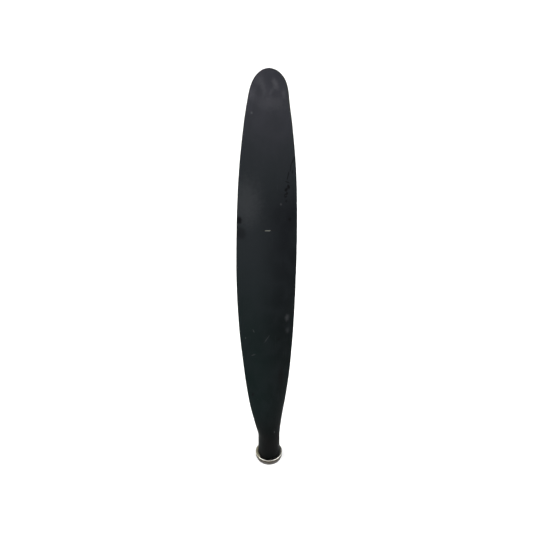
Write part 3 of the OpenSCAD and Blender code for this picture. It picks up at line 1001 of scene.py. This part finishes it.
def build_reference_mark(blade):
    """The scribed reference line across the flat face as a dark film of painted shadow, with old
    paint left at its middle.
    """
    skin = BVHTree.FromObject(blade, bpy.context.evaluated_depsgraph_get())
    half = sizes().mark_length / 2
    height = sizes().mark_height
    # Painted shadow: a dark film that stands in for the shade in the scribed groove.
    line = strip_on_face("reference_line", skin, (-half, half), height, rise=1.2 * MM,
                         half_height=0.8 * MM, steps=40, wander=0.25, seed=3, lift=0.03 * MM)
    place(line, "blade", [mark_finish("line_shadow", SCRIBED_GROOVE_SHADOW, 0.2)])
    paint = strip_on_face("reference_paint", skin, (-half / 2, half / 4), height,
                          rise=0.2 * MM, half_height=0.65 * MM, steps=24, wander=0.3, seed=5,
                          lift=0.09 * MM)
    place(paint, "blade",
          [mark_finish("reference_mark_paint", colours().mark_paint, 0.35)])


# ---------------------------------------------------------------- the butt fittings

def build_bushing():
    """Flanged bronze bushing with its screw and pin holes."""
    low, top, rim = BUSHING_LOW.z, BUSHING_HIGH.z, BUSHING_HIGH.x
    barrel = BUSHING_SEAT_R - SLIP
    outline = [(PILOT_R + 1 * MM, low), (rim, low), (rim, COUNTERBORE_TOP),
               (barrel, COUNTERBORE_TOP), (barrel, top), (PILOT_R, top), (PILOT_R, low + 1 * MM)]
    bushing = lathe("butt_bushing", rounded(outline, 0.25 * MM, 2))
    holes = [rods_at("holes", polar(FIXINGS, FIXING_CIRCLE_R, first), FIXING_R,
                     low - 1.5 * MM, COUNTERBORE_TOP + 3 * MM)
             for first in (0, math.pi / FIXINGS)]
    countersink = [(0, low - CUT), (5 * MM, low - CUT), (4 * MM, low),
                   (FIXING_R, low + 2 * MM), (0, low + 2 * MM)]
    sinks = [move_to(lathe("sink", countersink, 48, closed=False), spot)
             for _, spot in polar(FIXINGS, FIXING_CIRCLE_R)]
    carve(bushing, join("holes", holes))
    carve(bushing, join("sinks", sinks))
    place(bushing, "blade",
          [bronze("aged_bronze", colours().bronze)], ["blade_bushing"])


def slotted_screw(low):
    """Countersunk screw with a slotted head, its head's face at the given height."""
    head_r, head_height, slot_half, slot_depth = 3.8 * MM, 1.9 * MM, 0.45 * MM, 0.9 * MM
    head = lathe("head", [(0, low), (head_r - 0.1 * MM, low), (head_r, low + 0.15 * MM),
                          (FIXING_R - 0.1 * MM, low + head_height),
                          (0, low + head_height + 0.2 * MM)], 64, closed=False)
    slot = mesh_object("slot", *box_mesh((-6 * MM, -slot_half, low - CUT),
                                         (6 * MM, slot_half, low + slot_depth)))
    carve(head, slot)
    shank = threaded_rod("thread", FIXING_R - 0.05 * MM, low + head_height,
                         low + SCREW_LENGTH, 0.7 * MM, 0.3 * MM)
    return join("screw", [head, shank])


def box_mesh(low, high):
    """Points and faces of a box between two corners."""
    xs, ys, zs = zip(low, high)
    verts = [(x, y, z) for x in xs for y in ys for z in zs]
    faces = [(0, 1, 3, 2), (4, 6, 7, 5), (0, 4, 5, 1), (2, 3, 7, 6), (0, 2, 6, 4), (1, 5, 7, 3)]
    return verts, faces


def build_bushing_fixings(finish):
    """Slotted screws and drive pins that hold the bushing in the butt."""
    low = BUSHING_LOW.z + FIXING_SINK
    screws = [move_to(slotted_screw(low), spot, angle + 0.5 + 1.3 * math.sin(3 * angle))
              for angle, spot in polar(FIXINGS, FIXING_CIRCLE_R)]
    place(join("bushing_screw_set", screws), "blade", [finish],
          ["bushing_screws"], math.radians(50))
    pins = [move_to(rod("pin", FIXING_R - SLIP, low + FIXING_SINK, low + PIN_LENGTH, 40, 0.3 * MM),
                    spot)
            for _, spot in polar(FIXINGS, FIXING_CIRCLE_R, math.pi / FIXINGS)]
    place(join("bushing_pin_set", pins), "blade", [finish],
          ["bushing_drive_pins"])


# ---------------------------------------------------------------- the balance plug

def build_balance_plug(finish):
    """Plug that closes the bore, with its O-ring groove and its boss."""
    low, high, r = PLUG_LOW.z, PLUG_HIGH.z, PLUG_HIGH.x
    groove_low, groove_high = low + 6 * MM, low + 8.6 * MM
    groove_r, boss_r, rim = 15 * MM, 10 * MM, high - 3 * MM
    stud_hole_r = STUD_HIGH.x + 0.15 * MM
    outline = [(0, low + 1.5 * MM), (boss_r - 1 * MM, low + 1.5 * MM), (boss_r, low), (r, low),
               (r, groove_low), (groove_r, groove_low), (groove_r, groove_high),
               (r, groove_high), (r, rim), (boss_r, rim), (boss_r, high),
               (stud_hole_r, high), (stud_hole_r, low + 2.6 * MM), (0, low + 2.6 * MM)]
    soft = rounded(outline, 0.3 * MM, 2)
    plug = lathe("bore_plug", [outline[0], *soft[3:-3], outline[-1]], 128, closed=False)
    place(plug, "blade", [finish], ["balance_plug"])


def build_seal(rubber):
    """O-ring in the plug's groove."""
    low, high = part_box("plug_o_ring")
    tube = (high.z - low.z) / 2
    middle = (low.z + high.z) / 2
    outline = [(high.x - tube + tube * math.cos(a), middle + tube * math.sin(a))
               for a in np.linspace(0, 2 * math.pi, 25)[:-1]]
    place(lathe("plug_seal", outline, 160), "blade", [rubber], ["plug_o_ring"])


def build_retaining_ring(finish):
    """Snap ring under the plug, open between two lugs with holes for pliers."""
    low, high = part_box("plug_snap_ring")
    outer, inner, half_gap = GROOVE_R - 0.1 * MM, 15.2 * MM, 4.5 * MM
    lug_r, hole_r, lug_reach, lug_side = 2.6 * MM, 0.9 * MM, 14.3 * MM, 6.9 * MM
    open_angle = math.asin(half_gap / outer)
    arc = np.linspace(open_angle, 2 * math.pi - open_angle, 97)
    flat = [(outer * math.cos(a), outer * math.sin(a)) for a in arc]
    flat += [(inner * math.cos(a), inner * math.sin(a)) for a in arc[::-1]]
    ring = prism("plug_retaining_ring", flat, low.z, high.z)
    forward = math.sqrt(lug_reach ** 2 - lug_side ** 2)
    lugs = [(0, Vector((forward, side * lug_side, 0))) for side in (-1, 1)]
    for lug in lugs:
        carve(ring, rods_at("lug", [lug], lug_r, low.z, high.z, 40), "UNION")
    for lug in lugs:
        carve(ring, rods_at("hole", [lug], hole_r, low.z - CUT, high.z + CUT))
    bevel(ring, 0.15 * MM)
    place(ring, "blade", [finish], ["plug_snap_ring"])


def prism(name, flat, low, high):
    """A flat outline given thickness along Z."""
    n = len(flat)
    verts = [(x, y, low) for x, y in flat] + [(x, y, high) for x, y in flat]
    faces = [tuple(range(n)), tuple(range(n, 2 * n))]
    faces += [(k, (k + 1) % n, n + (k + 1) % n, n + k) for k in range(n)]
    return mesh_object(name, verts, faces)


def hex_nut(name, node):
    """Hexagon nut with chamfered corners, in the place of a CAD nut."""
    low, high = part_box(node)
    across_flats, low, high = high.y * 2, low.z, high.z
    corner = across_flats / 2 / math.cos(math.pi / 6)
    nut = prism(name, [(corner * math.cos(math.radians(60 * k)),
                        corner * math.sin(math.radians(60 * k))) for k in range(6)], low, high)
    inner, outer, drop = corner - 0.9 * MM, corner + 0.1 * MM, 0.6 * MM
    cone = lathe("cone", [(0, low), (inner, low), (outer, low + drop), (outer, high - drop),
                          (inner, high), (0, high)], 96, closed=False)
    carve(nut, cone, "INTERSECT")
    carve(nut, rod("bore", STUD_HIGH.x + SLIP, low - CUT, high + CUT, 64))
    return bevel(nut, 0.12 * MM)


def build_stud(finish, pin_z):
    """Threaded stud with the hole for its cotter pin."""
    stud = threaded_rod("threaded_stud", STUD_HIGH.x, STUD_LOW.z, STUD_HIGH.z,
                        1.25 * MM, 0.5 * MM, 40)
    hole = rod("hole", 0.95 * MM, -10 * MM, 10 * MM, 32)
    hole.data.transform(Matrix.Rotation(math.pi / 2, 4, "Y"))
    hole.data.transform(Matrix.Translation((0, 0, pin_z)))
    carve(stud, hole)
    place(stud, "blade", [finish], ["balance_stud"], math.radians(50))


def build_lead_washers(lead, bore):
    """Lead balance washers, each a little dented."""
    low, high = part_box("lead_washers")
    thickness, gap = 4 * MM, 0.05 * MM
    discs = []
    for i in range(round((high.z - low.z) / thickness)):
        z = low.z + i * thickness
        top = z + thickness - gap
        outline = [(bore, z), (high.x, z), (high.x, top), (bore, top)]
        disc = lathe("disc", rounded(outline, 0.5 * MM, 3), 96)
        for v in disc.data.vertices:
            dent = noise.noise(v.co * 260 + Vector((i * 9, 0, 0))) * 0.12 * MM
            v.co.x *= 1 - abs(dent) / high.x
            v.co.y *= 1 - abs(dent) / high.x
        discs.append(disc)
    place(join("lead_disc_set", discs), "blade", [lead], ["lead_washers"])


def build_balance_stack(finish, lead):
    """Stud, jam nut, lead and steel washers, castle nut and cotter pin."""
    slot_depth, slot_half = 3 * MM, 1.1 * MM
    nut_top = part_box("castle_nut")[1].z
    pin_z = nut_top - slot_depth / 2
    bore = STUD_HIGH.x + 0.2 * MM
    build_stud(finish, pin_z)
    place(hex_nut("jam_nut", "stud_jam_nut"), "blade", [finish],
          ["stud_jam_nut"])
    build_lead_washers(lead, bore)
    low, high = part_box("steel_washer")
    outline = [(bore, low.z), (high.x, low.z), (high.x, high.z), (bore, high.z)]
    place(lathe("steel_disc", rounded(outline, 0.3 * MM), 96), "blade",
          [finish], ["steel_washer"])
    crown = hex_nut("crown_nut", "castle_nut")
    for k in range(3):
        slot = mesh_object("slot", *box_mesh((-13 * MM, -slot_half, nut_top - slot_depth),
                                             (13 * MM, slot_half, nut_top + CUT)))
        slot.data.transform(Matrix.Rotation(math.radians(60 * k), 4, "Z"))
        carve(crown, slot)
    place(crown, "blade", [finish], ["castle_nut"])
    build_cotter_pin(finish, pin_z)


def wire(name, path, radius, columns=16):
    """Round wire along a path that lies near the XZ plane, closed at both ends."""
    points = [Vector(p) for p in path]
    verts = []
    for i, point in enumerate(points):
        along = points[min(i + 1, len(points) - 1)] - points[max(i - 1, 0)]
        up = along.cross(Vector((0, 1, 0))).normalized()
        across = up.cross(along).normalized()
        for k in range(columns):
            angle = 2 * math.pi * k / columns
            verts.append(point + radius * (up * math.cos(angle) + across * math.sin(angle)))
    return mesh_object(name, verts,
                       ring_faces(len(points), columns) + end_faces(len(points), columns))


def build_cotter_pin(finish, z):
    """Split pin: an eye, two legs through the stud, and bent ends."""
    reach, eye, wire_r = 9 * MM, 1.6 * MM, 0.42 * MM
    eye_x = -reach - 1.3 * MM
    legs = []
    for side in (-1, 1):
        leg_z = z + side * wire_r
        path = [(eye_x + eye * math.cos(a), 0, z + side * eye * math.sin(a))
                for a in np.linspace(math.pi, 0.5, 9)]
        path += [(2.5 * MM - reach, 0, leg_z), (0, 0, leg_z), (reach - 1.5 * MM, 0, leg_z),
                 (reach - 0.4 * MM, 0, leg_z + 0.9 * MM),
                 (reach - 0.2 * MM, side * wire_r, z + 3.4 * MM + side * 0.3 * MM)]
        legs.append(wire("leg", path, wire_r))
    place(join("split_pin", legs), "blade", [finish], ["cotter_pin"])


def build_lead_wool(lead):
    """Strands of lead wool tamped into the top of the tapered bore."""
    low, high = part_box("lead_wool")
    top_r, strand, dent = TAPER_END_R - 0.1 * MM, 0.35 * MM, 0.25 * MM
    rows, columns = 60, 96
    verts = []
    for i in range(rows + 1):
        t = i / rows
        for k in range(columns):
            angle = 2 * math.pi * k / columns
            swirl = noise.noise(Vector((t * 6, angle, 0)))
            twist = math.sin(9 * angle + 34 * t + 3 * swirl)
            r = high.x + (top_r - high.x) * t - strand * (1 + twist)
            r -= dent * abs(noise.noise(Vector((t * 30, angle * 6, 4))))
            verts.append((r * math.cos(angle), r * math.sin(angle),
                          low.z + (high.z - low.z) * t))
    wool = mesh_object("tamped_lead_wool", verts,
                       ring_faces(rows + 1, columns) + end_faces(rows + 1, columns))
    place(wool, "blade", [lead], ["lead_wool"])


# ---------------------------------------------------------------- the thrust bearing

def build_thrust_washers(bright, dull):
    """Bevelled washer against the flange and flat washer on top of the rollers."""
    bore = WASHER_BORE_R
    leg = SHANK_FILLET + 0.1 * MM
    low, high = BEVEL_LOW.z, BEVEL_HIGH.z
    outline = [(bore + leg, low), (WASHER_R, low), (WASHER_R, high), (bore, high),
               (bore, low + leg)]
    place(lathe("bevelled_washer", rounded(outline, 0.45 * MM), 256), "bevelled_washer",
          [dull], ["bevelled_thrust_washer"])
    low, high = FLAT_LOW.z, FLAT_HIGH.z
    outline = [(bore, low), (WASHER_R, low), (WASHER_R, high), (bore, high)]
    place(lathe("flat_washer", rounded(outline, 1.4 * MM, 8), 256), "flat_washer",
          [bright], ["flat_thrust_washer"])


def retainer_half(side, finish):
    """Half of the bronze retainer, with a pocket for each of its rollers."""
    node = "retainer_half_right" if side > 0 else "retainer_half_left"
    low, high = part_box(node)
    outer = high.y
    bore = WASHER_BORE_R + RETAINER_CLEARANCE
    radii = [bore, bore + RETAINER_WEB - ROLLER_POCKET,
             bore + RETAINER_WEB + ROLLER_LENGTH + ROLLER_POCKET, outer]
    pitch = 2 * math.pi / ROLLERS
    pockets = ROLLERS // 2
    pocket_half = 2.3 * MM
    window = pocket_half / (bore + RETAINER_WEB + ROLLER_LENGTH / 2)
    split = 0.006
    angles = [split]
    for i in range(pockets):
        middle = (i + 0.5) * pitch
        angles += [middle + window * t for t in (-1, -0.5, 0, 0.5, 1)]
    angles.append(math.pi - split)
    turn = -math.pi / 2 if side > 0 else math.pi / 2
    open_cells = {1 + 5 * i + k for i in range(pockets) for k in range(4)}
    bm = bmesh.new()
    grid = [[[bm.verts.new((r * math.cos(a + turn), r * math.sin(a + turn), z))
              for r in radii] for a in angles] for z in (low.z, high.z)]
    solid = {(i, j) for i in range(len(angles) - 1) for j in range(3)
             if not (j == 1 and i in open_cells)}
    for i, j in solid:
        for layer in grid:
            bm.faces.new((layer[i][j], layer[i + 1][j], layer[i + 1][j + 1], layer[i][j + 1]))
        sides = {(i - 1, j): (i, j, i, j + 1), (i + 1, j): (i + 1, j, i + 1, j + 1),
                 (i, j - 1): (i, j, i + 1, j), (i, j + 1): (i, j + 1, i + 1, j + 1)}
        for cell, (a, b, c, d) in sides.items():
            if cell not in solid:
                bm.faces.new((grid[0][a][b], grid[0][c][d], grid[1][c][d], grid[1][a][b]))
    bmesh.ops.recalc_face_normals(bm, faces=bm.faces)
    mesh = bpy.data.meshes.new(node)
    bm.to_mesh(mesh)
    bm.free()
    half = bpy.data.objects.new("roller_cage_" + ("right" if side > 0 else "left"), mesh)
    bpy.context.scene.collection.objects.link(half)
    bevel(half, 0.12 * MM, 2)
    place(half, "roller_retainer", [finish], [node])


def build_rollers(side, finish):
    """The rollers of one retainer half, with crowned ends."""
    node = "rollers_right" if side > 0 else "rollers_left"
    low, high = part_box(node)
    radius = (high.z - low.z) / 2
    middle = (low.z + high.z) / 2
    inner = WASHER_BORE_R + RETAINER_CLEARANCE + RETAINER_WEB
    bars = []
    for i in range(ROLLERS):
        angle = 2 * math.pi * (i + 0.5) / ROLLERS
        if side * math.cos(angle) < 0:
            continue
        bar = rod("roller", radius, inner, inner + ROLLER_LENGTH, 40, 0.35 * MM)
        bar.data.transform(Matrix.Rotation(math.pi / 2, 4, "Y"))
        bar.data.transform(Matrix.Rotation(angle, 4, "Z"))
        bar.data.transform(Matrix.Translation((0, 0, middle)))
        bars.append(bar)
    name = "roller_set_" + ("right" if side > 0 else "left")
    place(join(name, bars), "roller_retainer", [finish], [node])


# ---------------------------------------------------------------- operators

class BLADE_OT_forging(bpy.types.Operator):
    """Builds the painted forging and the reference mark on its flat face"""
    bl_idname = "blade.forging"
    bl_label = "Build the Forging"

    def execute(self, context):
        build_reference_mark(build_blade())
        return {"FINISHED"}


class BLADE_OT_bushing(bpy.types.Operator):
    """Builds the butt bushing with its screws and drive pins"""
    bl_idname = "blade.bushing"
    bl_label = "Build the Bushing"

    def execute(self, context):
        build_bushing()
        build_bushing_fixings(steel("fixing_steel", colours().dull_steel, 0.42))
        return {"FINISHED"}


class BLADE_OT_balance_plug(bpy.types.Operator):
    """Builds the balance plug, its rings, its washer stack and the lead wool"""
    bl_idname = "blade.balance_plug"
    bl_label = "Build the Balance Plug"

    def execute(self, context):
        build_balance_plug(bare_forging())
        plain = steel("plug_steel", colours().dull_steel, 0.38, grime=0.25)
        build_seal(seal_rubber())
        build_retaining_ring(plain)
        lead = soft_lead()
        build_balance_stack(plain, lead)
        build_lead_wool(lead)
        return {"FINISHED"}


class BLADE_OT_thrust_bearing(bpy.types.Operator):
    """Builds the captive thrust bearing: two washers, two retainer halves and the rollers"""
    bl_idname = "blade.thrust_bearing"
    bl_label = "Build the Thrust Bearing"

    def execute(self, context):
        # The polished race carries a painted sheen on its left side.
        bright = steel("polished_race", colours().bright_steel, 0.17,
                       grime=0.4, shine=0.5, side_sheen=0.8)
        dull = steel("dull_race", colours().dull_steel, 0.4, grime=0.5)
        build_thrust_washers(bright, dull)
        rolled = steel("roller_steel", colours().bright_steel, 0.2, grime=0.2, ring_bump=0.05)
        # The retainer's dark bronze is painted shade of the gap between the washers.
        cage = bronze("bronze_in_painted_shade", colours().bronze_in_painted_shade)
        for side in (-1, 1):
            retainer_half(side, cage)
            build_rollers(side, rolled)
        return {"FINISHED"}


class BLADE_OT_studio(bpy.types.Operator):
    """Sets up the pale floor, the soft lights and the camera"""
    bl_idname = "blade.studio"
    bl_label = "Set up the Studio"

    def execute(self, context):
        scene = context.scene
        scene.view_settings.view_transform = "Standard"
        scene.world = white_room()
        half = FLOOR_SIZE / 2
        floor = mesh_object("floor", [(-half, -half, 0), (half, -half, 0),
                                      (half, half, 0), (-half, half, 0)], [(0, 1, 2, 3)])
        floor.data.materials.append(floor_finish())
        aside, front, height = SOFTBOX_PLACE
        power = studio().side_light
        soft_box("left_light", (-aside, front, height), SOFTBOX_SIZE, power * 1.5)
        soft_box("right_light", (aside, front, height), SOFTBOX_SIZE, power)
        add_camera(scene)
        return {"FINISHED"}


def white_room():
    """World of a white studio: bright low walls at both sides, dark overhead and in the middle."""
    world = bpy.data.worlds.new("white_room")
    world.use_nodes = True
    tree = world.node_tree

    def node(kind, **settings):
        made = tree.nodes.new(kind)
        for key, value in settings.items():
            setattr(made, key, value)
        return made

    def eased(source, low, high, out_low, out_high):
        ramp = node("ShaderNodeMapRange", interpolation_type="SMOOTHSTEP")
        for socket, number in zip(list(ramp.inputs)[1:5], (low, high, out_low, out_high)):
            socket.default_value = number
        tree.links.new(source, ramp.inputs[0])
        return ramp.outputs[0]

    def maths(operation, a, b=0.0):
        step = node("ShaderNodeMath", operation=operation)
        for socket, value in zip(step.inputs, (a, b)):
            if isinstance(value, float):
                socket.default_value = value
            else:
                tree.links.new(value, socket)
        return step.outputs[0]

    coords = node("ShaderNodeTexCoord")
    split = node("ShaderNodeSeparateXYZ")
    tree.links.new(coords.outputs["Generated"], split.inputs[0])
    sideways, height = maths("ABSOLUTE", split.outputs[0]), split.outputs[2]
    back = node("ShaderNodeVectorMath", operation="DOT_PRODUCT")
    tree.links.new(coords.outputs["Generated"], back.inputs[0])
    back.inputs[1].default_value = (0, 0.6, 0.8)
    back_dark = maths("MULTIPLY", eased(back.outputs["Value"], 0.55, 0.88, 0.0, 0.85),
                      eased(height, 0.1, 0.4, 0.0, 1.0))
    middle_dark = maths("MULTIPLY", eased(sideways, 0.46, 0.22, 0.0, 0.92),
                        eased(height, 0.3, 0.55, 0.0, 1.0))
    lit = maths("SUBTRACT", 1.0, maths("MAXIMUM", back_dark, middle_dark))
    glow = maths("MULTIPLY", eased(sideways, 0.4, 0.62, 0.0, studio().side_glow),
                 eased(height, 0.72, 0.6, 0.0, 1.0))
    glow = maths("MULTIPLY", glow, eased(height, 0.03, 0.12, 0.0, 1.0))
    room = maths("ADD", eased(height, 0.05, 0.5, 1.0, 1.5), glow)
    background = tree.nodes["Background"]
    tree.links.new(maths("MULTIPLY", room, lit), background.inputs["Color"])
    background.inputs["Strength"].default_value = studio().room_light
    return world


def soft_box(name, spot, size, power):
    """A tall softbox, turned to face the foot of the blade."""
    data = bpy.data.lights.new(name, "AREA")
    data.shape = "RECTANGLE"
    data.size, data.size_y = size
    data.energy = power
    light = bpy.data.objects.new(name, data)
    light.location = spot
    light.rotation_euler = (-Vector(spot)).to_track_quat("-Z", "Y").to_euler()
    bpy.context.scene.collection.objects.link(light)


def add_camera(scene):
    """Camera in front of the blade, which looks down at it."""
    data = bpy.data.cameras.new("camera")
    data.lens = studio().camera_lens
    data.sensor_width = 36
    data.shift_x = studio().camera_shift
    camera = bpy.data.objects.new("camera", data)
    camera.location = (0, -studio().camera_distance, studio().camera_height)
    camera.rotation_euler = (math.pi / 2 - studio().camera_pitch, 0, 0)
    scene.collection.objects.link(camera)
    scene.camera = camera


class BLADE_PT_panel(bpy.types.Panel):
    """Lists the blade's sizes, colours and build steps"""
    bl_idname = "BLADE_PT_panel"
    bl_label = "Propeller Blade"
    bl_space_type = "VIEW_3D"
    bl_region_type = "UI"
    bl_category = "Propeller Blade"

    def draw(self, context):
        for group in (context.scene.blade_sizes, context.scene.blade_colours,
                      context.scene.blade_studio):
            box = self.layout.box()
            for name in group.__annotations__:
                box.prop(group, name)
        for step in STEPS:
            self.layout.operator(step.bl_idname)


STEPS = (BLADE_OT_forging, BLADE_OT_bushing, BLADE_OT_balance_plug, BLADE_OT_thrust_bearing,
         BLADE_OT_studio)
CLASSES = (BladeSizes, BladeColours, StudioSettings, *STEPS, BLADE_PT_panel)


def register():
    """Makes the add-on's classes and settings known to Blender."""
    for cls in CLASSES:
        bpy.utils.register_class(cls)
    bpy.types.Scene.blade_sizes = PointerProperty(type=BladeSizes)
    bpy.types.Scene.blade_colours = PointerProperty(type=BladeColours)
    bpy.types.Scene.blade_studio = PointerProperty(type=StudioSettings)


def unregister():
    """Takes them away again."""
    del bpy.types.Scene.blade_studio
    del bpy.types.Scene.blade_colours
    del bpy.types.Scene.blade_sizes
    for cls in reversed(CLASSES):
        bpy.utils.unregister_class(cls)


def main():
    """Builds the pieces and the stage in order."""
    register()
    bpy.ops.blade.forging()
    bpy.ops.blade.bushing()
    bpy.ops.blade.balance_plug()
    bpy.ops.blade.thrust_bearing()
    bpy.ops.blade.studio()


if __name__ == "__main__":
    main()
